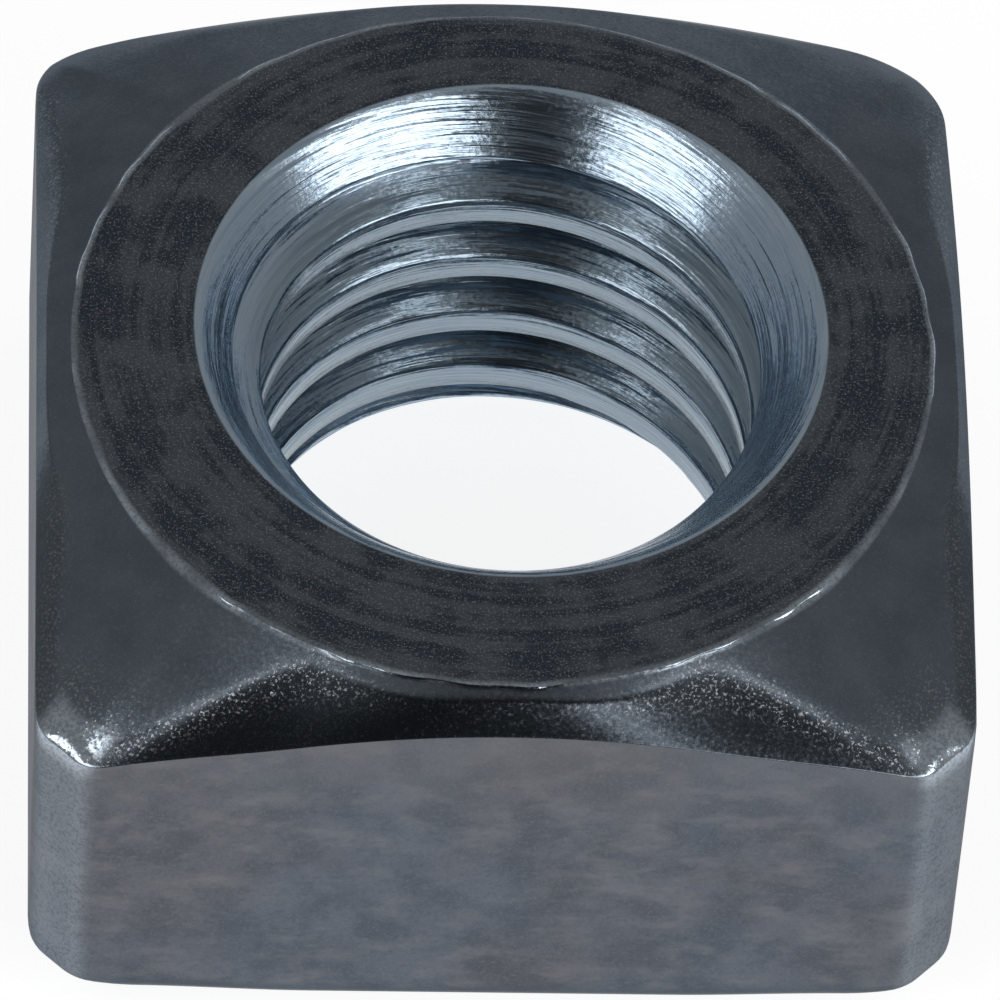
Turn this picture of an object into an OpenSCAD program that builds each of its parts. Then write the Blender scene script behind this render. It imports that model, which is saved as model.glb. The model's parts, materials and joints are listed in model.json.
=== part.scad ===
// Square nut with chamfered corners, cold formed from steel bar and tapped right through.
// The origin is the middle of the bearing face, and +Z points to the chamfered top face.
// The hole is bored to the crests of its thread and countersunk at both faces.
// The groove between the crests is then cut along a right-hand helix.

/* [Body] */
// Width across the flats
across_flats = 20.6; // [19.5:0.1:24]
// Height from the bearing face to the top face
height = 11; // [7:0.1:16]
// Radius of the upright corners, seen from above
corner_radius = 1.75; // [0.8:0.05:3]
// Radius of the corners' tips, between a sloping corner and an upright one
tip_radius = 0.9; // [0.3:0.05:1.2]

/* [Top] */
// Diameter of the flat ring on the top face
ring_diameter = 19.2; // [17:0.1:19.3]
// Slope of the chamfered corners outside the ring, in degrees
chamfer_slope = 26; // [12:1:35]
// Radius of the rolled edges along the flats
roll_radius = 1.45; // [1:0.05:2.5]
// How far the rolled edges have leaned in at the height of the top face
roll_inset = 0.6; // [0.2:0.05:0.9]

/* [Bottom] */
// Diameter of the circle outside which the corners lift off the bearing face
bearing_diameter = 24; // [21:0.1:26]
// Slope of the lifted corners, in degrees
lift_slope = 33; // [8:1:40]
// Radius of the edges along the flats
foot_radius = 1.4; // [1:0.05:2.5]
// How far those edges have leaned in at the bearing face
foot_inset = 0.8; // [0.2:0.05:0.9]

/* [Hole] */
// Diameter of the hole, at the crests of its thread
hole_diameter = 11; // [8:0.1:12]
// Distance from one turn of the thread to the next
thread_pitch = 1.954; // [1.5:0.001:2.5]
// Depth of the thread, from its crests to its roots
thread_depth = 0.85; // [0.5:0.05:1]
// Height at which a crest crosses the right-hand side of the hole
crest_height = 7.86; // [6:0.01:9]
// Diameter of the countersinks at the two faces
countersink_diameter = 14; // [12.5:0.1:15]
// Included angle of the countersinks, in degrees
countersink_angle = 80; // [70:5:120]
// How far the hole sits to the right of the middle of the square
hole_offset_x = 0.2; // [-0.5:0.05:0.5]
// How far the hole sits behind the middle of the square
hole_offset_y = 0.5; // [-0.5:0.05:0.5]

/* [Hidden] */
// Roundness of the drawn curves
$fn = 96;
// How far a cutting or bounding shape runs past the faces of the nut
past = 1;
// How far the turned outline stands clear of the upright corners
turned_clear = 0.15;
// Steps in the arc round the tip of a corner
tip_steps = 6;
// Distance from the middle of the square to the outside of an upright corner
corner_reach = (across_flats / 2 - corner_radius) * sqrt(2) + corner_radius;
countersink_depth = (countersink_diameter - hole_diameter) / 2 / tan(countersink_angle / 2);
// Lean of the thread's flanks from square to the hole, in degrees
flank_lean = 30;
// Width of the flat at the bottom of the groove
root_flat = thread_pitch / 8;
// How far the groove starts inside the crests
groove_clear = 0.12;
// Steps of the groove in one turn, along one flank and round its open side
turn_steps = 24;
flank_steps = 6;
mouth_steps = 6;
zinc_grey = [0.36, 0.40, 0.44];

// Height over which a rounded edge leans in by its inset
function lean_height(radius, inset) = sqrt(radius * radius - pow(radius - inset, 2));

// Plan of the bar: a square with rounded corners
module bar_plan() {
    straight = across_flats - 2 * corner_radius;
    square([across_flats, straight], center = true);
    square([straight, across_flats], center = true);
    for (x = [-1, 1], y = [-1, 1])
        translate([x * straight / 2, y * straight / 2])
            circle(corner_radius);
}

// The rounded end of the nut seen from the side, with the nut's face on the line y = 0.
// Its edges start on the flats and lean in, and they run on past the face.
module side_end(radius, inset) {
    start = -lean_height(radius, inset);
    middle = across_flats / 2 - radius;
    translate([-middle, start - radius])
        square([2 * middle, 2 * radius]);
    for (side = [-1, 1])
        translate([side * middle, start])
            circle(radius);
}

// The nut seen from the side: the upright flats between its two rounded ends
module side_outline() {
    flats_low = lean_height(foot_radius, foot_inset);
    flats_high = height - lean_height(roll_radius, roll_inset);
    translate([-across_flats / 2, flats_low])
        square([across_flats, flats_high - flats_low]);
    translate([0, height])
        side_end(roll_radius, roll_inset);
    mirror([0, 1])
        side_end(foot_radius, foot_inset);
}

// Half section of one turned end, with its flat on the line y = 0 and the body below it.
// A cone falls away outside the flat, and an arc ends it at the tips of the corners.
module turned_end(flat_diameter, slope) {
    flat = flat_diameter / 2;
    outside = corner_reach + turned_clear;
    tip_x = outside - tip_radius;
    tip_y = -(tip_x - flat) * tan(slope) - tip_radius / cos(slope);
    tip_arc = [
        for (step = [0 : tip_steps])
            let (lean = slope + (90 - slope) * step / tip_steps)
                [tip_x + tip_radius * sin(lean), tip_y + tip_radius * cos(lean)]
    ];
    polygon(concat(
        [[0, -height - past], [0, 0], [flat, 0]],
        tip_arc,
        [[outside, -height - past]]
    ));
}

// The formed blank before the hole is made
module blank() {
    intersection() {
        translate([0, 0, -past])
            linear_extrude(height + 2 * past)
                bar_plan();
        rotate([90, 0, 0])
            linear_extrude(across_flats + 2 * past, center = true)
                side_outline();
        rotate([90, 0, 90])
            linear_extrude(across_flats + 2 * past, center = true)
                side_outline();
        translate([0, 0, height])
            rotate_extrude()
                turned_end(ring_diameter, chamfer_slope);
        mirror([0, 0, 1])
            rotate_extrude()
                turned_end(bearing_diameter, lift_slope);
    }
}

// The hole with its two countersinks, as one turned cut
module hole_cut() {
    wall = hole_diameter / 2;
    mouth = countersink_diameter / 2 + past * tan(countersink_angle / 2);
    translate([hole_offset_x, hole_offset_y, 0])
        rotate_extrude()
            polygon([
                [0, -past],
                [mouth, -past],
                [wall, countersink_depth],
                [wall, height - countersink_depth],
                [mouth, height + past],
                [0, height + past]
            ]);
}

// Angle through which the thread turns while it climbs by a length
function thread_angle(length) = 360 * length / thread_pitch;

// A point of the groove's level section, at a radius and an angle about the hole
function groove_point(radius, angle) = [radius * cos(angle), radius * sin(angle)];

// Level section of the groove: two flanks that wind out from inside the crests to the flat root
module groove_section() {
    mouth_radius = hole_diameter / 2 - groove_clear;
    flank_height = thread_depth + groove_clear;
    root_half = thread_angle(root_flat) / 2;
    mouth_half = thread_angle(root_flat / 2 + flank_height * tan(flank_lean));
    flank = [
        for (step = [0 : flank_steps])
            let (share = step / flank_steps)
                [mouth_radius + flank_height * share, mouth_half + (root_half - mouth_half) * share]
    ];
    polygon(concat(
        [for (point = flank) groove_point(point[0], -point[1])],
        [groove_point(mouth_radius + flank_height, 0)],
        [for (step = [flank_steps : -1 : 0]) groove_point(flank[step][0], flank[step][1])],
        [
            for (step = [1 : mouth_steps - 1])
                groove_point(mouth_radius, mouth_half - 2 * mouth_half * step / mouth_steps)
        ]
    ));
}

// The groove of the right-hand thread: its level section, turned once for each pitch that it climbs
module thread_groove() {
    length = height + 2 * past;
    turns = length / thread_pitch;
    translate([hole_offset_x, hole_offset_y, -past])
        rotate(180 - thread_angle(crest_height + past))
            linear_extrude(
                length,
                twist = -360 * turns,
                slices = ceil(turns * turn_steps),
                segments = 0,
                $fn = 0
            )
                groove_section();
}

module nut_body() {
    color(zinc_grey)
        difference() {
            blank();
            hole_cut();
            thread_groove();
        }
}

nut_body();
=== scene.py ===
import json
import math

import bpy
import numpy as np
from mathutils import Matrix, Vector


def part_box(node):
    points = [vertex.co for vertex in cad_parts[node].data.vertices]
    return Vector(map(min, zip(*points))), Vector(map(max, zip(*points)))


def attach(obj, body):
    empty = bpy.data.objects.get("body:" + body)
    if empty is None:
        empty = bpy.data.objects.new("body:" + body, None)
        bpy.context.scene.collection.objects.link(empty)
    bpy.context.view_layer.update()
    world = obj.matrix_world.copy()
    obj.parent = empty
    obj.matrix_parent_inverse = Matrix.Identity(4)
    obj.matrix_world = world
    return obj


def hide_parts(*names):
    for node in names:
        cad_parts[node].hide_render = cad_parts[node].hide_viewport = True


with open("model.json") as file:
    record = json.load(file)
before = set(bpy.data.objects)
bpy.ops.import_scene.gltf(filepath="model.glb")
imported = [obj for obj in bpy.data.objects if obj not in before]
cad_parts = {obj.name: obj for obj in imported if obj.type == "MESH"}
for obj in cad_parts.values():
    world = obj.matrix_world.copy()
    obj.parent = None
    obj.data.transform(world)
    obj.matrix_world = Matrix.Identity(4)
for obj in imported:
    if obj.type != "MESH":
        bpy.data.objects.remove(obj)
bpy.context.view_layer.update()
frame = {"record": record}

# The nut is one piece of steel, cold formed from square bar and tapped right through.
# Its top is formed to a flat ring, outside which the four corners fall away as parts of one cone,
# and the cone rolls over into the flats. Sizes are in millimetres until the mesh is made.
MM = 0.001
low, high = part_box("nut_body")
half_flats = (high.x - low.x) / 2 / MM
height = (high.z - low.z) / MM
ring_radius = 9.5
chamfer_slope = math.radians(26)
bearing_radius = 12.5
lift_slope = math.radians(33)
foot_blend = 0.6

# The lip round the ring is ragged. Its waves are given as their number in a turn and their phase.
lip_width = 0.07
lip_slope = math.radians(50)
lip_waves = {7: 1.0, 17: 2.3, 41: 0.7}
lip_mean, lip_swing = 0.4, 0.35

# The upright corners are blunt facets with soft edges, and they differ from one another
corner_width = {"back_right": 0.97, "back_left": 0.62, "front_left": 1.06, "front_right": 1.10}
corner_blend = {"back_right": 0.8, "back_left": 0.55, "front_left": 0.35, "front_right": 0.35}

# The foot leans in along an arc. A spread is the stretch of cornerness, from 0 in the middle of a flat
# to 1 on a diagonal, over which a size changes to the one it has at the corners.
foot_radius, foot_radius_outer = 1.4, 1.6
foot_inset, foot_inset_outer = 0.8, 0.95
foot_spread = 0.4, 0.8

# The roll between the cone and a flat starts at a crease in the flat, where it already leans in.
# It leans more away from the middle of the flat, and it is deepest in the front flat.
crease_drop = {"front": 0.5, "right": 0.28, "back": 0.155, "left": 0.28}
corner_drop = 0.14
drop_spread = 0.45, 0.95
roll_lean, roll_lean_outer = 0.58, 0.98
roll_spread = 0.1, 0.5
roll_curve = 0.3
ridge_blend, tip_blend = 0.06, 0.8
tip_spread = 0.65, 1.0

# Angles of the mesh's columns, closer together at the corners of the square
column_count = 320
corner_crowding = 0.15
turn = np.arange(column_count) / column_count * 2 * np.pi
column_angle = turn + corner_crowding * np.sin(4 * turn)
column_way = np.stack([np.cos(column_angle), np.sin(column_angle)], axis=1)


def smooth_step(value, start, end):
    """Rises from 0 at start to 1 at end, which may be the smaller, along the cubic 3t^2 - 2t^3."""
    t = np.clip((value - start) / (end - start), 0, 1)
    return t * t * (3 - 2 * t)


def smooth_min(a, b, blend):
    """The smaller of a and b, less a parabola that rounds the corner where they are within blend."""
    overlap = np.clip(blend - np.abs(a - b), 0, None)
    return np.minimum(a, b) - overlap**2 / (4 * blend)


def lean(distance_to_face, radius, inset):
    """How far an edge leans in: an arc of that radius, upright where it starts and leaning by inset
    at the face."""
    rise = np.sqrt(radius**2 - (radius - inset) ** 2)
    climb = np.clip(rise - distance_to_face, 0, None)
    return radius - np.sqrt(radius**2 - climb**2)


def at_corner(values, angle):
    """The value of the corner that lies in the same quarter of the turn as an angle."""
    back = np.where(np.cos(angle) > 0, values["back_right"], values["back_left"])
    front = np.where(np.cos(angle) > 0, values["front_right"], values["front_left"])
    return np.where(np.sin(angle) > 0, back, front)


def bar_reach(angle, half_width):
    """Distance from the middle to the side of the bar at an angle: half_width / max(|cos|, |sin|),
    or, at a corner, the blunt facet (2 half_flats - width) / (|cos| + |sin|), with a soft edge between."""
    c, s = np.abs(np.cos(angle)), np.abs(np.sin(angle))
    facet = (2 * half_flats - at_corner(corner_width, angle)) / (c + s)
    return smooth_min(half_width / np.maximum(c, s), facet, at_corner(corner_blend, angle))


def ragged(angle):
    """Share between 0 and 1 that comes and goes round the nut: the mean plus the swing times the sum of
    the lip's sine waves, clipped."""
    waves = sum(np.sin(number * angle + phase) for number, phase in lip_waves.items())
    return np.clip(lip_mean + lip_swing * waves, 0, 1)


def cornerness(angle):
    """0 in the middle of a flat and 1 on a diagonal: the tangent of the angle from the flat's middle."""
    c, s = np.abs(np.cos(angle)), np.abs(np.sin(angle))
    return np.minimum(c, s) / np.maximum(c, s)


def toward_corner(angle, middle, outer, spread):
    """A size that changes from middle to outer along a smooth step over a spread of cornerness."""
    return middle + (outer - middle) * smooth_step(cornerness(angle), *spread)


def flat_drop(angle):
    """Drop of the crease in the flat that lies at an angle."""
    c, s = np.cos(angle), np.sin(angle)
    return np.where(
        np.abs(c) > np.abs(s),
        np.where(c > 0, crease_drop["right"], crease_drop["left"]),
        np.where(s > 0, crease_drop["back"], crease_drop["front"]),
    )


def crease_depth(angle):
    """Depth below the top of the crease in a flat: where the cone would meet the flat, and a drop
    below it, which blends into corner_drop towards the diagonals."""
    drop = toward_corner(angle, flat_drop(angle), corner_drop, drop_spread)
    return (bar_reach(angle, half_flats) - ring_radius - lip_width) * math.tan(chamfer_slope) + drop


def side_reach(angle, z):
    """Distance from the middle to the side of the bar, which leans in at its foot and, above the crease,
    in its roll, whose inset is its lean times the climb above the crease, plus a slight parabola."""
    climb = np.clip(z - height + crease_depth(angle), 0, None)
    slope = toward_corner(angle, roll_lean, roll_lean_outer, roll_spread)
    roll_inset = slope * climb + roll_curve * climb**2 / 2
    radius = toward_corner(angle, foot_radius, foot_radius_outer, foot_spread)
    inset = toward_corner(angle, foot_inset, foot_inset_outer, foot_spread)
    return bar_reach(angle, half_flats - lean(z, radius, inset) - roll_inset)


def top_reach(angle, z):
    """Distance from the middle to the cone under the ring, and to the ragged and steeper lip that
    stands on it."""
    lip = ring_radius + lip_width * ragged(angle) + (height - z) / math.tan(lip_slope)
    return np.maximum(ring_radius + (height - z) / math.tan(chamfer_slope), lip)


def outside_reach(angle, z):
    """Distance from the middle to the outside at an angle and height: the side, cut by the cone under
    the ring and by the cone that lifts the corners off the floor."""
    side, top_cone = side_reach(angle, z), top_reach(angle, z)
    foot_cone = bearing_radius + z / math.tan(lift_slope)
    blend = toward_corner(angle, ridge_blend, tip_blend, tip_spread)
    return smooth_min(smooth_min(side, top_cone, blend), foot_cone, foot_blend)


# Rows up the side: close together at the foot, at the crease and in the roll above it
foot_row_count, flat_row_count, roll_row_count = 20, 14, 28
foot_top, foot_crowding = 2.2, 1.4
rows_at_top, rows_at_crease = [0, 0.01, 0.02, 0.03], [0.985, 1.0, 1.015, 1.04]
foot_rows = foot_top * np.linspace(0, 1, foot_row_count) ** foot_crowding
crease = crease_depth(column_angle)[:, None]
roll_share = np.concatenate([rows_at_top, np.linspace(0.05, 0.97, roll_row_count), rows_at_crease])
roll_rows = height - crease * roll_share[::-1]
flat_share = np.linspace(0, 1, flat_row_count + 2)[1:-1]
flat_rows = foot_rows[-1] + (roll_rows[:, :1] - foot_rows[-1]) * flat_share
foot_rows = np.broadcast_to(foot_rows, (column_count, foot_row_count))
side_z = np.concatenate([foot_rows, flat_rows, roll_rows], axis=1)
side_r = outside_reach(column_angle[:, None], side_z)
side_points = np.concatenate([column_way[:, None] * side_r[:, :, None], side_z[:, :, None]], axis=2)

# The tapped hole: a coarse right-hand thread with flat crests, countersunk at both faces.
# It is cut after the nut is formed, a little off the middle, and left with fine lines round it.
tapped_hole = next(m for m in frame["record"]["mounts"] if m["name"] == "tapped_hole")
hole_x, hole_y = (place / MM for place in tapped_hole["pos_m"][:2])
crest_radius = tapped_hole["dims"]["r_mm"]
pitch = 1.954
root_radius = 6.35
root_flat = pitch / 8
flank_lean = math.radians(30)
flank_rise = 1 / math.tan(flank_lean)
crest_flat = pitch - root_flat - 2 * (root_radius - crest_radius) / flank_rise
crest_level = 7.86
rim_radius = 7.05
rim_round = 0.3
mouth_slope = math.tan(math.radians(37.6))
mouth_blend = 0.1


def mouth_reach(depth):
    """Radius of the countersink at a depth below the face: a cone that rounds over to level at the rim
    as a hyperbola, where the inset is mouth_slope times the root of depth^2 + 2 depth rim_round."""
    return rim_radius - mouth_slope * np.sqrt(depth**2 + 2 * depth * rim_round)


def hole_reach(angle, z):
    """Radius of the hole at an angle and height: a right-hand thread of flat crests, 60 degree flanks
    and flat roots that climbs one pitch a turn, or the countersink where that is wider."""
    lead = (z - crest_level) / pitch - angle / (2 * np.pi)
    from_crest = np.abs(lead - np.round(lead)) * pitch
    thread = crest_radius + (from_crest - crest_flat / 2) * flank_rise
    thread = np.clip(thread, crest_radius, root_radius)
    return -smooth_min(-thread, -mouth_reach(np.minimum(z, height - z)), mouth_blend)


# Rows of the hole: level rows in the countersinks, and rows that climb with the thread.
# Two rows round off each edge of the thread, and each flank has a row near its crest and near its root.
edge_round = 0.035
row_from_crest, row_from_root = 0.15, 0.17
flank_end = crest_flat / 2 + (root_radius - crest_radius) / flank_rise
half_turn_rows = np.array([
    0,
    crest_flat / 2 - edge_round,
    crest_flat / 2 + edge_round,
    crest_flat / 2 + row_from_crest,
    flank_end - row_from_root,
    flank_end - edge_round,
    flank_end + edge_round,
])
turn_rows = np.concatenate([half_turn_rows, pitch - half_turn_rows[:0:-1]])
turn_numbers = np.arange(-5, 5)
climbing_rows = (crest_level + turn_numbers[:, None] * pitch + turn_rows).ravel()
rim_rows, mouth_top, mouth_depth, mouth_row_count = [0, 0.004, 0.015, 0.04], 0.08, 2.0, 22
mouth_rows = np.concatenate([rim_rows, np.linspace(mouth_top, mouth_depth, mouth_row_count)])
level_rows = np.concatenate([mouth_rows, height - mouth_rows])
climb = pitch * column_angle[:, None] / (2 * np.pi)
hole_z = np.concatenate(
    [np.broadcast_to(level_rows, (column_count, level_rows.size)), climbing_rows + climb], axis=1
)
hole_z = np.sort(np.clip(hole_z, 0, height), axis=1)
hole_r = hole_reach(column_angle[:, None], hole_z)
hole_points = np.concatenate(
    [column_way[:, None] * hole_r[:, :, None] + (hole_x, hole_y), hole_z[:, :, None]], axis=2
)

# The bearing face and the flat ring join the rims of the hole to the side, in straight rows
face_rows = np.array([0, 0.008, 0.03, 0.1, 0.25, 0.4, 0.55, 0.7, 0.85, 0.95, 0.985])
lower_rim, upper_rim = hole_points[:, :1], hole_points[:, -1:]
bearing_face = lower_rim + (side_points[:, :1] - lower_rim) * face_rows[:, None]
top_face = upper_rim + (side_points[:, -1:] - upper_rim) * face_rows[::-1, None]
outside_points = np.concatenate([bearing_face, side_points, top_face], axis=1)

# Vertex numbers: the hole's first and last rows are the rims that the outside already has
outside_rows = outside_points.shape[1]
hole_rows = hole_points.shape[1]
outside_number = np.arange(column_count * outside_rows).reshape(column_count, outside_rows)
hole_number = outside_number.size + np.arange(column_count * hole_rows).reshape(column_count, hole_rows)
hole_number = np.where(hole_z <= 0, outside_number[:, :1], hole_number)
hole_number = np.where(hole_z >= height, outside_number[:, -1:], hole_number)

# The column after the last is the first again, where the climbing rows are one turn further on
outside_next = np.roll(outside_number, -1, axis=0)
hole_next = np.roll(hole_number, -1, axis=0)
rows_per_turn = turn_rows.size
hole_next[-1, :-rows_per_turn] = hole_number[0, rows_per_turn:]
hole_next[-1, -rows_per_turn:] = outside_number[0, -1]


def quads(here, after, outward):
    """Four-sided faces between each column and the one after it, turned so that they face outward."""
    corners = [here[:, :-1], after[:, :-1], after[:, 1:], here[:, 1:]]
    return np.stack(corners if outward else corners[::-1], axis=2).reshape(-1, 4)


# Where rows run out at a rim, corners of a face fall together: it becomes a triangle or goes
faces = np.concatenate([
    quads(outside_number, outside_next, True),
    quads(hole_number, hole_next, False),
])
doubled = faces == np.roll(faces, -1, axis=1)
whole = faces[~doubled.any(axis=1)]
pinched = doubled.sum(axis=1) == 1
triangles = faces[pinched][~doubled[pinched]].reshape(-1, 3)


def on_outside(side_values):
    """Values for all rows of the outside: those of the side, and 0 on the two faces."""
    return np.pad(side_values, ((0, 0), (face_rows.size, face_rows.size)))


def on_points(outside_values, hole_value):
    """Values for all points, in the order of their numbers: one each outside, and the same in the hole."""
    return np.concatenate([outside_values.ravel(), np.full(column_count * hole_rows, hole_value)])


# The plating is rubbed bright on the ring's lip and the tips of the front corners,
# and a little on the upright corners: this is wear, and its bright colour is also a painted highlight. A fade
# is the stretch over which a mark comes or goes.
lip_row_count, least_lip_wear_and_highlight = 4, 0.35
facet_spread, facet_wear_and_highlight, facet_fade = (0.86, 0.92), 0.3, (-0.1, 0.3)
tip_wear_level, tip_wear_reach, tip_wear_fade = 0.15, 0.4, 0.2
in_front = column_way[:, 1:] < 0
on_facet = smooth_step(cornerness(column_angle), *facet_spread)[:, None]
over_crease = side_z - height + crease
upright_wear_and_highlight = facet_wear_and_highlight * smooth_step(-over_crease, *facet_fade)
tip_wear_and_highlight = smooth_step(tip_wear_reach - np.abs(over_crease - tip_wear_level), 0, tip_wear_fade) * in_front
wear_and_highlight = on_outside(on_facet * np.maximum(upright_wear_and_highlight, tip_wear_and_highlight))
lip_rows = slice(-face_rows.size - lip_row_count, -face_rows.size + 1)
wear_and_highlight[:, lip_rows] = least_lip_wear_and_highlight + (1 - least_lip_wear_and_highlight) * ragged(column_angle)[:, None]

# The rolls are stretched and rough, from their crease up to the ridge against the cone.
# Their colour is painted dark, a painted shade, by the square of how far they are drawn down, so the front
# one is the darkest.
crease_fade, ridge_fade = (-0.01, 0.04), (-0.02, 0.04)
above_crease = smooth_step(over_crease, *crease_fade)
under_cone = top_reach(column_angle[:, None], side_z) - side_reach(column_angle[:, None], side_z)
below_ridge = smooth_step(under_cone, *ridge_fade)
stretched = (flat_drop(column_angle) / crease_drop["front"])[:, None] ** 2 * (1 - on_facet)
rolled = on_outside(above_crease * below_ridge * stretched)

# Coarse grains sparkle along the ridge and round the tips of the front corners: they tilt more, and their
# paler colour is a painted glint
sparkle_below, sparkle_above = (0.5, 0.15), (-0.12, 0.02)
sparkle_middle, sparkle_outer, sparkle_spread = 0.25, 1.0, (0.2, 0.5)
tip_sparkle, tip_sparkle_spread, tip_sparkle_fade = 0.8, (0.78, 0.92), (1.2, 0.3)
near_ridge = smooth_step(under_cone, *sparkle_below) * smooth_step(under_cone, *sparkle_above)
ridge_sparkle = toward_corner(column_angle, sparkle_middle, sparkle_outer, sparkle_spread)[:, None]
near_ridge = near_ridge * ridge_sparkle * stretched
near_tip = smooth_step(cornerness(column_angle), *tip_sparkle_spread)[:, None]
near_tip = near_tip * smooth_step(over_crease, *tip_sparkle_fade) * in_front
sparkling = on_outside(above_crease * np.maximum(near_ridge, tip_sparkle * near_tip))

point_values = {
    "in_hole": on_points(np.zeros(outside_number.shape), 1.0),
    "wear_and_highlight": on_points(wear_and_highlight, 0.0),
    "rolled": on_points(rolled, 0.0),
    "sparkling": on_points(sparkling, 0.0),
}
points = np.concatenate([outside_points.reshape(-1, 3), hole_points.reshape(-1, 3)])
used, renumbered = np.unique(np.concatenate([whole.ravel(), triangles.ravel()]), return_inverse=True)
whole = renumbered[: whole.size].reshape(-1, 4)
triangles = renumbered[whole.size :].reshape(-1, 3)

nut_mesh = bpy.data.meshes.new("square_nut")
nut_mesh.from_pydata((points[used] * MM).tolist(), [], whole.tolist() + triangles.tolist())
for name, values in point_values.items():
    nut_mesh.attributes.new(name, "FLOAT", "POINT").data.foreach_set("value", values[used])
nut_mesh.shade_smooth()
nut = bpy.data.objects.new("square_nut", nut_mesh)
bpy.context.scene.collection.objects.link(nut)


def add_node(tree, kind, **values):
    """Adds a node. An output socket given as a value is linked, and any other value is set."""
    node = tree.nodes.new(kind)
    for name, value in values.items():
        if hasattr(node, name):
            setattr(node, name, value)
            continue
        key = int(name[6:]) if name.startswith("input_") else name.replace("_", " ")
        if isinstance(value, bpy.types.NodeSocket):
            tree.links.new(value, node.inputs[key])
        else:
            node.inputs[key].default_value = value
    return node


# The plating is bright zinc from a tumbling barrel: dull and finely speckled outside, where each grain lies
# at its own tilt and paler specks and glints are painted sparkle, and brighter and bluer in the hole, where
# the tap's lines show through it.
cone_dark, cone_light = (0.106, 0.127, 0.153, 1), (0.130, 0.152, 0.179, 1)
ring_dark, ring_light = (0.046, 0.059, 0.077, 1), (0.106, 0.122, 0.142, 1)
flat_dark, flat_light = (0.098, 0.114, 0.142, 1), (0.137, 0.154, 0.186, 1)
brown_dark, brown_light = (0.100, 0.107, 0.124, 1), (0.137, 0.144, 0.163, 1)
pit_colour = (0.06, 0.068, 0.082, 1)
wisp_colour = (0.21, 0.215, 0.225, 1)
# Painted sheen: the paler colour of the flats near the top
painted_upper_sheen_colour = (0.165, 0.170, 0.182, 1)
# Painted shade: the near-black colour of the rolls
painted_roll_shade_colour = (0.050, 0.060, 0.073, 1)
# Bare metal where rubbed, which is also a painted highlight
bare_and_highlight_colour = (0.46, 0.53, 0.60, 1)
# Painted sparkle: the paler colour of specks and glints
painted_speck_colour = (0.19, 0.205, 0.22, 1)
painted_glint_colour = (0.28, 0.295, 0.31, 1)
# Painted glint: the paler colour of the sparks
painted_spark_colour = (0.36, 0.38, 0.40, 1)
flank_dark, flank_light = (0.160, 0.218, 0.277, 1), (0.262, 0.325, 0.38, 1)
# Paler crests and countersinks: painted reflection
crest_dark, crest_light = (0.225, 0.295, 0.36, 1), (0.33, 0.40, 0.46, 1)
mouth_dark, mouth_light = (0.32, 0.42, 0.52, 1), (0.46, 0.55, 0.64, 1)
outside_edge_tint, hole_edge_tint = (0.45, 0.46, 0.48, 1), (1, 1, 1, 1)

# Lines of the tap in a radian and in a millimetre, and marks of turning round the hole and away from it
lines_round, lines_up = 1.6, 17.0
marks_round, marks_out = 0.6, 3.0
line_tilt_size = 1.8

# Where a painted sheen makes the flats paler towards the top, where the countersinks start, from the middle
# of the height, and where the crests end, from the axis of the hole
upper_sheen_start, upper_sheen_end = 6.5, 10.0
mouth_start, mouth_end = 3.5, 4.0
crest_edge_start, crest_edge_end = crest_radius + 0.05, crest_radius + 0.2


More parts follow.
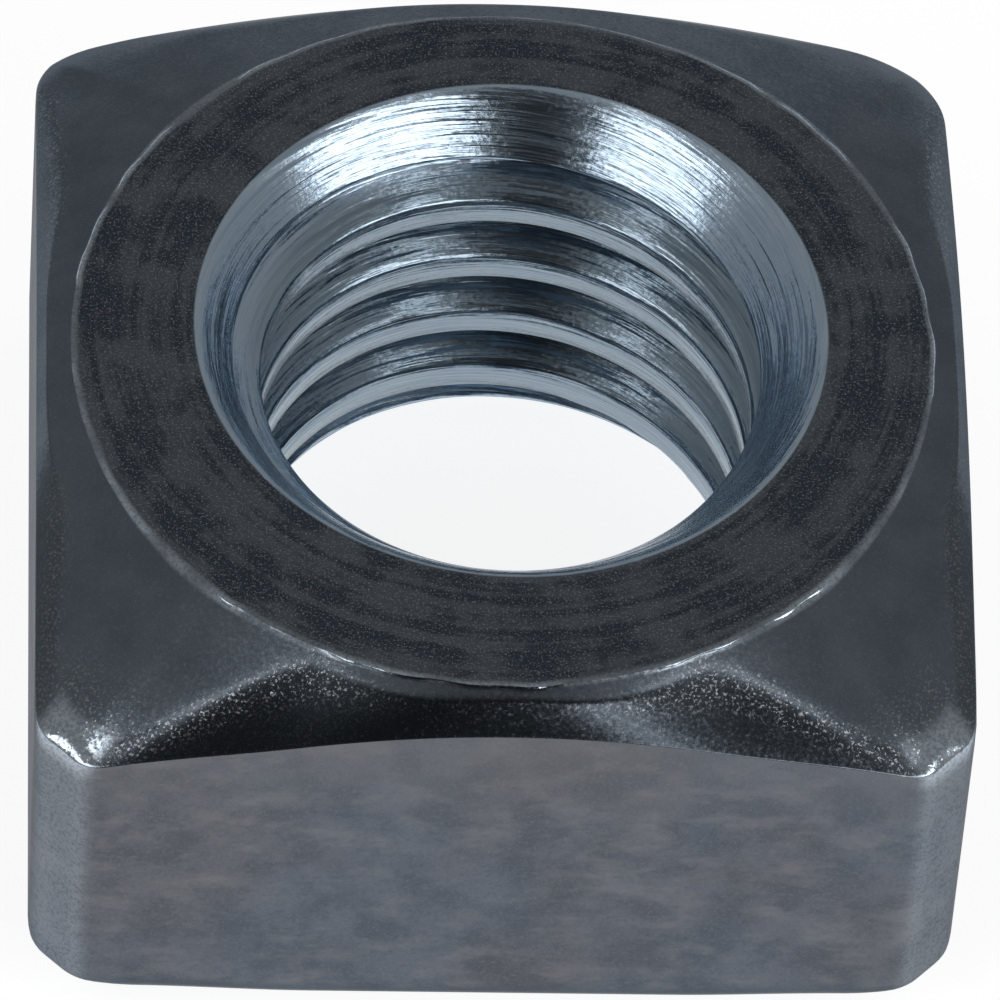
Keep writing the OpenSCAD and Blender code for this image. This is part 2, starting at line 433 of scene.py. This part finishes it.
def zinc_plating():
    """Metal of a few greys, with a random tilt for each grain, and the cutting lines as tilts of the
    hole's wall."""
    material = bpy.data.materials.new("zinc_plating")
    material.use_nodes = True
    tree = material.node_tree
    shader = tree.nodes["Principled BSDF"]
    shader.inputs["Metallic"].default_value = 1.0

    def calc(operation, a, b=0.0, c=0.0):
        made = add_node(tree, "ShaderNodeMath", operation=operation, input_0=a, input_1=b, input_2=c)
        return made.outputs[0]

    def vector(operation, a, b=(0, 0, 0)):
        made = add_node(tree, "ShaderNodeVectorMath", operation=operation, input_0=a, input_1=b)
        return made.outputs[0]

    def scaled(a, amount):
        made = add_node(tree, "ShaderNodeVectorMath", operation="SCALE", Vector=a, Scale=amount)
        return made.outputs[0]

    def joined(x, y, z):
        return add_node(tree, "ShaderNodeCombineXYZ", X=x, Y=y, Z=z).outputs[0]

    def attribute(name):
        return add_node(tree, "ShaderNodeAttribute", attribute_name=name).outputs["Fac"]

    def noise(where, scale, detail, roughness):
        made = add_node(tree, "ShaderNodeTexNoise", Vector=where, Scale=scale, Detail=detail,
                        Roughness=roughness)
        return made.outputs

    def ramp(value, start, end, first=0.0, last=1.0):
        made = add_node(tree, "ShaderNodeMapRange", interpolation_type="SMOOTHSTEP", Value=value,
                        From_Min=start, From_Max=end, To_Min=first, To_Max=last)
        return made.outputs[0]

    def blend(share, a, b):
        made = add_node(tree, "ShaderNodeMix", data_type="FLOAT", input_0=share, input_2=a, input_3=b)
        return made.outputs[0]

    def tint(share, a, b):
        made = add_node(tree, "ShaderNodeMix", data_type="RGBA", input_0=share, input_6=a, input_7=b)
        return made.outputs[2]

    coordinate = add_node(tree, "ShaderNodeTexCoord").outputs
    place = scaled(coordinate["Object"], 1 / MM)
    at = add_node(tree, "ShaderNodeSeparateXYZ", Vector=place).outputs
    facing = add_node(tree, "ShaderNodeSeparateXYZ", Vector=coordinate["Normal"]).outputs
    facing_up = calc("ABSOLUTE", facing["Z"])
    side = ramp(facing_up, 0.1, 0.4, first=1.0, last=0.0)
    level = ramp(facing_up, 0.93, 0.98)
    hole = attribute("in_hole")
    wear_and_highlight_share = attribute("wear_and_highlight")
    roll_tilt_and_painted_shade = attribute("rolled")
    coarse_grain_and_painted_spark = attribute("sparkling")

    # Angle and height along the thread, with the seam at the front
    from_x = calc("SUBTRACT", at["X"], hole_x)
    from_y = calc("SUBTRACT", at["Y"], hole_y)
    angle = calc("ARCTAN2", calc("MULTIPLY", from_x, -1.0), from_y)
    lead = calc("SUBTRACT", at["Z"], calc("MULTIPLY", angle, pitch / (2 * math.pi)))
    line_place = joined(calc("MULTIPLY", angle, lines_round), calc("MULTIPLY", lead, lines_up), 0.0)
    lines = noise(line_place, scale=1.0, detail=4.0, roughness=0.8)["Fac"]

    # Marks of turning round the hole, which show on the ring
    round_hole = vector("NORMALIZE", joined(calc("MULTIPLY", from_y, -1.0), from_x, 0.0))
    squares = calc("ADD", calc("MULTIPLY", from_x, from_x), calc("MULTIPLY", from_y, from_y))
    from_axis = calc("SQRT", squares)
    mark_out = joined(0.0, 0.0, calc("MULTIPLY", from_axis, marks_out))
    mark_place = vector("ADD", scaled(round_hole, marks_round), mark_out)
    marks = noise(mark_place, scale=1.0, detail=2.0, roughness=0.7)["Fac"]

    # Clouds of plating and fine grains; specks of rougher grain that scatters light, and glints, whose paler
    # colour is painted sparkle
    clouds = noise(place, scale=0.8, detail=3.0, roughness=0.65)["Fac"]
    grains = noise(place, scale=11.0, detail=2.0, roughness=0.6)
    glints = noise(place, scale=23.0, detail=1.0, roughness=0.5)["Fac"]
    speck_share = blend(level, blend(side, 0.25, 0.5), 1.0)
    specks = calc("MULTIPLY", ramp(grains["Fac"], 0.56, 0.74), speck_share)
    painted_shine = calc("MAXIMUM", blend(level, 0.2, 1.0), ramp(wear_and_highlight_share, 0.0, 0.3, first=0.0, last=0.8))
    painted_shine = calc("MULTIPLY", ramp(glints, 0.57, 0.72), painted_shine)
    spark_grains = noise(place, scale=16.0, detail=1.0, roughness=0.5)["Fac"]
    tilted_and_painted_sparks = calc("MULTIPLY", ramp(spark_grains, 0.55, 0.66), coarse_grain_and_painted_spark)
    stains = noise(place, scale=0.16, detail=2.0, roughness=0.6)["Fac"]
    wisps = noise(vector("MULTIPLY", place, (1, 1, 2)), scale=0.7, detail=3.0, roughness=0.6)["Fac"]

    # The cone and the ring, and the flats, which are stained brown in places and painted paler at the top as
    # a painted sheen
    grey = tint(ramp(clouds, 0.3, 0.7), cone_dark, cone_light)
    grey = tint(level, grey, tint(ramp(calc("ADD", clouds, marks), 0.86, 1.14), ring_dark, ring_light))
    brown = tint(ramp(clouds, 0.35, 0.65), brown_dark, brown_light)
    steel = tint(ramp(clouds, 0.35, 0.65), flat_dark, flat_light)
    steel = tint(ramp(stains, 0.42, 0.66), steel, brown)
    steel = tint(ramp(grains["Fac"], 0.5, 0.3, first=0.0, last=0.2), steel, pit_colour)
    steel = tint(ramp(wisps, 0.46, 0.74, first=0.0, last=0.5), steel, wisp_colour)
    # Painted sheen: the flats turn paler towards the top
    painted_upper_sheen = ramp(at["Z"], upper_sheen_start, upper_sheen_end, first=0.0, last=0.4)
    steel = tint(painted_upper_sheen, steel, painted_upper_sheen_colour)
    grey = tint(side, grey, steel)
    # Painted shade darkens the rolls
    grey = tint(roll_tilt_and_painted_shade, grey, painted_roll_shade_colour)
    # Rubbed places: bare metal and a painted highlight
    bare_and_highlight = calc("MULTIPLY", wear_and_highlight_share, ramp(grains["Fac"], 0.35, 0.6, first=0.5, last=1.0))
    grey = tint(bare_and_highlight, grey, bare_and_highlight_colour)
    # Painted sparkle: paler specks and glints
    grey = tint(specks, grey, painted_speck_colour)
    grey = tint(painted_shine, grey, painted_glint_colour)
    # Painted glints on the sparks
    grey = tint(tilted_and_painted_sparks, grey, painted_spark_colour)

    # The hole, whose crests and countersinks are painted paler than its flanks, a painted reflection
    mouth = ramp(calc("ABSOLUTE", calc("SUBTRACT", at["Z"], height / 2)), mouth_start, mouth_end)
    crest = ramp(from_axis, crest_edge_start, crest_edge_end, first=1.0, last=0.0)
    blue = tint(mouth, tint(crest, flank_dark, crest_dark), mouth_dark)
    pale = tint(mouth, tint(crest, flank_light, crest_light), mouth_light)
    blue = tint(ramp(lines, 0.3, 0.7), blue, pale)
    tree.links.new(tint(hole, grey, blue), shader.inputs["Base Color"])
    tree.links.new(tint(hole, outside_edge_tint, hole_edge_tint), shader.inputs["Specular Tint"])

    dull = blend(side, 0.25, ramp(clouds, 0.3, 0.7, first=0.36, last=0.44))
    dull = calc("MULTIPLY_ADD", specks, 0.22, dull)
    dull = calc("MULTIPLY_ADD", wear_and_highlight_share, -0.12, dull)
    bright = ramp(lines, 0.3, 0.7, first=0.16, last=0.28)
    tree.links.new(blend(hole, dull, bright), shader.inputs["Roughness"])

    # Tilts of the grains, and of the lines in the hole
    normal = add_node(tree, "ShaderNodeNewGeometry").outputs["Normal"]
    grain_size = blend(tilted_and_painted_sparks, blend(roll_tilt_and_painted_shade, blend(side, 0.13, 0.10), 0.16), 0.7)
    grain_size = blend(hole, grain_size, 0.20)
    grain_tilt = scaled(vector("SUBTRACT", grains["Color"], (0.5, 0.5, 0.5)), grain_size)
    up_wall = vector("CROSS_PRODUCT", normal, round_hole)
    line_size = calc("MULTIPLY", calc("SUBTRACT", lines, 0.5), blend(hole, 0.0, line_tilt_size))
    line_tilt = scaled(up_wall, line_size)
    tilted = vector("NORMALIZE", vector("ADD", vector("ADD", normal, grain_tilt), line_tilt))
    tree.links.new(tilted, shader.inputs["Normal"])
    return material


nut_mesh.materials.append(zinc_plating())
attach(nut, "root")
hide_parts("nut_body")

# The floor is a plain pale sheet. It looks white to the camera and in the metal, and it keeps
# the nut's soft shadow, because part of its white is the light that falls on it.
# It lies a hair below the nut, and it is clear to a camera that looks up from under it.
floor_radius = 1.5
floor_level = -0.00002
floor_sides = 64
paper_grey = (0.3, 0.3, 0.3, 1)
paper_glow = 0.85
floor_angle = np.linspace(0, 2 * np.pi, floor_sides, endpoint=False)
floor_points = np.stack([
    floor_radius * np.cos(floor_angle),
    floor_radius * np.sin(floor_angle),
    np.full(floor_sides, floor_level),
], axis=1)
floor_mesh = bpy.data.meshes.new("floor")
floor_mesh.from_pydata(floor_points.tolist(), [], [list(range(floor_sides))])
floor = bpy.data.objects.new("floor", floor_mesh)
bpy.context.scene.collection.objects.link(floor)


def white_paper():
    """Pale matt paper, with a glow that only the camera, reflections and see-through rays meet.
    The glow is met by chance and not sampled as a lamp, which is quicker."""
    material = bpy.data.materials.new("white_paper")
    material.cycles.emission_sampling = "NONE"
    material.use_nodes = True
    tree = material.node_tree
    tree.nodes.remove(tree.nodes["Principled BSDF"])
    matt = add_node(tree, "ShaderNodeBsdfDiffuse", Color=paper_grey)
    rays = add_node(tree, "ShaderNodeLightPath").outputs
    seen = rays["Is Camera Ray"]
    for ray in ("Is Glossy Ray", "Is Transmission Ray"):
        seen = add_node(tree, "ShaderNodeMath", operation="MAXIMUM", input_0=seen, input_1=rays[ray])
        seen = seen.outputs[0]
    glow = add_node(tree, "ShaderNodeMath", operation="MULTIPLY", input_0=seen, input_1=paper_glow)
    glow = add_node(tree, "ShaderNodeEmission", Strength=glow.outputs[0])
    paper = add_node(tree, "ShaderNodeAddShader", input_0=matt.outputs[0], input_1=glow.outputs[0])
    below = add_node(tree, "ShaderNodeNewGeometry").outputs["Backfacing"]
    clear = add_node(tree, "ShaderNodeBsdfTransparent")
    both = add_node(tree, "ShaderNodeMixShader", input_0=below, input_1=paper.outputs[0],
                    input_2=clear.outputs[0])
    tree.links.new(both.outputs[0], tree.nodes["Material Output"].inputs["Surface"])
    return material


floor_mesh.materials.append(white_paper())

# The light is a dim grey room with a wide soft box and a small high one on each side of the camera.
# Lengths are in metres, and angles are in degrees from the front and from the floor.
room_grey = (0.34, 0.34, 0.34, 1)
box_distance = 0.35
wide_turned, wide_raised, wide_size = 43, 24, (0.36, 0.12)
wide_radiance = {"left": 3.0, "right": 3.4}
top_turned, top_raised, top_size = 57, 58, (0.05, 0.08)
top_radiance = 2.8
nut_middle = Vector((0, 0, height / 2 * MM))
world = bpy.data.worlds.new("room")
world.use_nodes = True
world.node_tree.nodes["Background"].inputs["Color"].default_value = room_grey
bpy.context.scene.world = world


def facing_nut(direction, distance):
    """Place and turn of a thing that stands off in a direction and faces the nut, with its height upright."""
    back = Vector(direction).normalized()
    across = Vector((0, 0, 1)).cross(back).normalized()
    turned = Matrix((across, back.cross(across), back)).transposed().to_4x4()
    return Matrix.Translation(nut_middle + back * distance) @ turned


def soft_box(name, direction, size, radiance):
    """An even rectangular lamp. Its power is its radiance times its area times pi."""
    width, tall = size
    lamp = bpy.data.lights.new(name, "AREA")
    lamp.shape = "RECTANGLE"
    lamp.size, lamp.size_y = width, tall
    lamp.energy = radiance * width * tall * math.pi
    box = bpy.data.objects.new(name, lamp)
    box.matrix_world = facing_nut(direction, box_distance)
    box.visible_camera = False
    bpy.context.scene.collection.objects.link(box)


def from_camera_side(turned, raised):
    """Direction from the nut, turned from the front and raised from the floor by angles in degrees."""
    t, r = math.radians(turned), math.radians(raised)
    return math.sin(t) * math.cos(r), -math.cos(t) * math.cos(r), math.sin(r)


for side_name, sign in (("left", -1), ("right", 1)):
    wide_way = from_camera_side(sign * wide_turned, wide_raised)
    soft_box(side_name + "_soft_box", wide_way, wide_size, wide_radiance[side_name])
    top_way = from_camera_side(sign * top_turned, top_raised)
    soft_box(side_name + "_top_box", top_way, top_size, top_radiance)

# The dark card is a sheet of felt, curved round the nut under the camera, as studios use for metal.
# It is narrow and set aside at its foot, wider above and narrow again at its top, all in degrees
# about the nut, and no camera sees it.
card_distance = 0.2
card_columns, card_rows = 5, 39
card_foot, card_top = -4, 72
card_foot_half, card_widening, card_narrowing = 22, 10, 12
widening_start, widening_end = 31, 38
narrowing_start, narrowing_end = 52, 60
card_foot_aside = -9
felt_colour = (0.02, 0.02, 0.02, 1)
card_share, card_raise = np.meshgrid(
    np.linspace(-1, 1, card_columns), np.linspace(card_foot, card_top, card_rows)
)
card_widened = smooth_step(card_raise, widening_start, widening_end)
card_narrowed = smooth_step(card_raise, narrowing_start, narrowing_end)
card_half = card_foot_half + card_widening * card_widened - card_narrowing * card_narrowed
card_aside = card_foot_aside * smooth_step(card_raise, widening_end, widening_start)
card_turn, card_raise = np.radians(card_share * card_half + card_aside), np.radians(card_raise)
card_points = card_distance * np.stack([
    np.sin(card_turn) * np.cos(card_raise),
    -np.cos(card_turn) * np.cos(card_raise),
    np.sin(card_raise),
], axis=2)
card_points = (card_points.reshape(-1, 3) + nut_middle).tolist()
card_number = np.arange(card_turn.size).reshape(card_turn.shape)
card_mesh = bpy.data.meshes.new("dark_card")
card_mesh.from_pydata(card_points, [], quads(card_number[:-1], card_number[1:], True).tolist())
card = bpy.data.objects.new("dark_card", card_mesh)
card.visible_camera = False
bpy.context.scene.collection.objects.link(card)


def dark_felt():
    """Matt near-black cloth."""
    material = bpy.data.materials.new("dark_felt")
    material.use_nodes = True
    shader = material.node_tree.nodes["Principled BSDF"]
    shader.inputs["Base Color"].default_value = felt_colour
    shader.inputs["Roughness"].default_value = 1.0
    return material


card_mesh.materials.append(dark_felt())

# The camera looks down on the nut's front from a little to the left, through a long lens.
view_turn = math.radians(-4.655)
view_height = math.radians(51.472)
view_roll = math.radians(4.442)
view_distance = 0.2905
lens_per_sensor = 12.9414
sensor_width = 36
aim_right, aim_up = 0.0002, -0.00003
camera_back = Vector((
    math.sin(view_turn) * math.cos(view_height),
    -math.cos(view_turn) * math.cos(view_height),
    math.sin(view_height),
))
level_right = Vector((math.cos(view_turn), math.sin(view_turn), 0))
level_up = camera_back.cross(level_right)
camera_right = math.cos(view_roll) * level_right + math.sin(view_roll) * level_up
camera_up = camera_back.cross(camera_right)
camera_data = bpy.data.cameras.new("camera")
camera_data.sensor_width = sensor_width
camera_data.lens = lens_per_sensor * sensor_width
camera = bpy.data.objects.new("camera", camera_data)
camera.matrix_world = Matrix.Translation(
    nut_middle + camera_back * view_distance + camera_right * aim_right + camera_up * aim_up
) @ Matrix((camera_right, camera_up, camera_back)).transposed().to_4x4()
bpy.context.scene.collection.objects.link(camera)
bpy.context.scene.camera = camera
bpy.context.scene.view_settings.view_transform = "Standard"
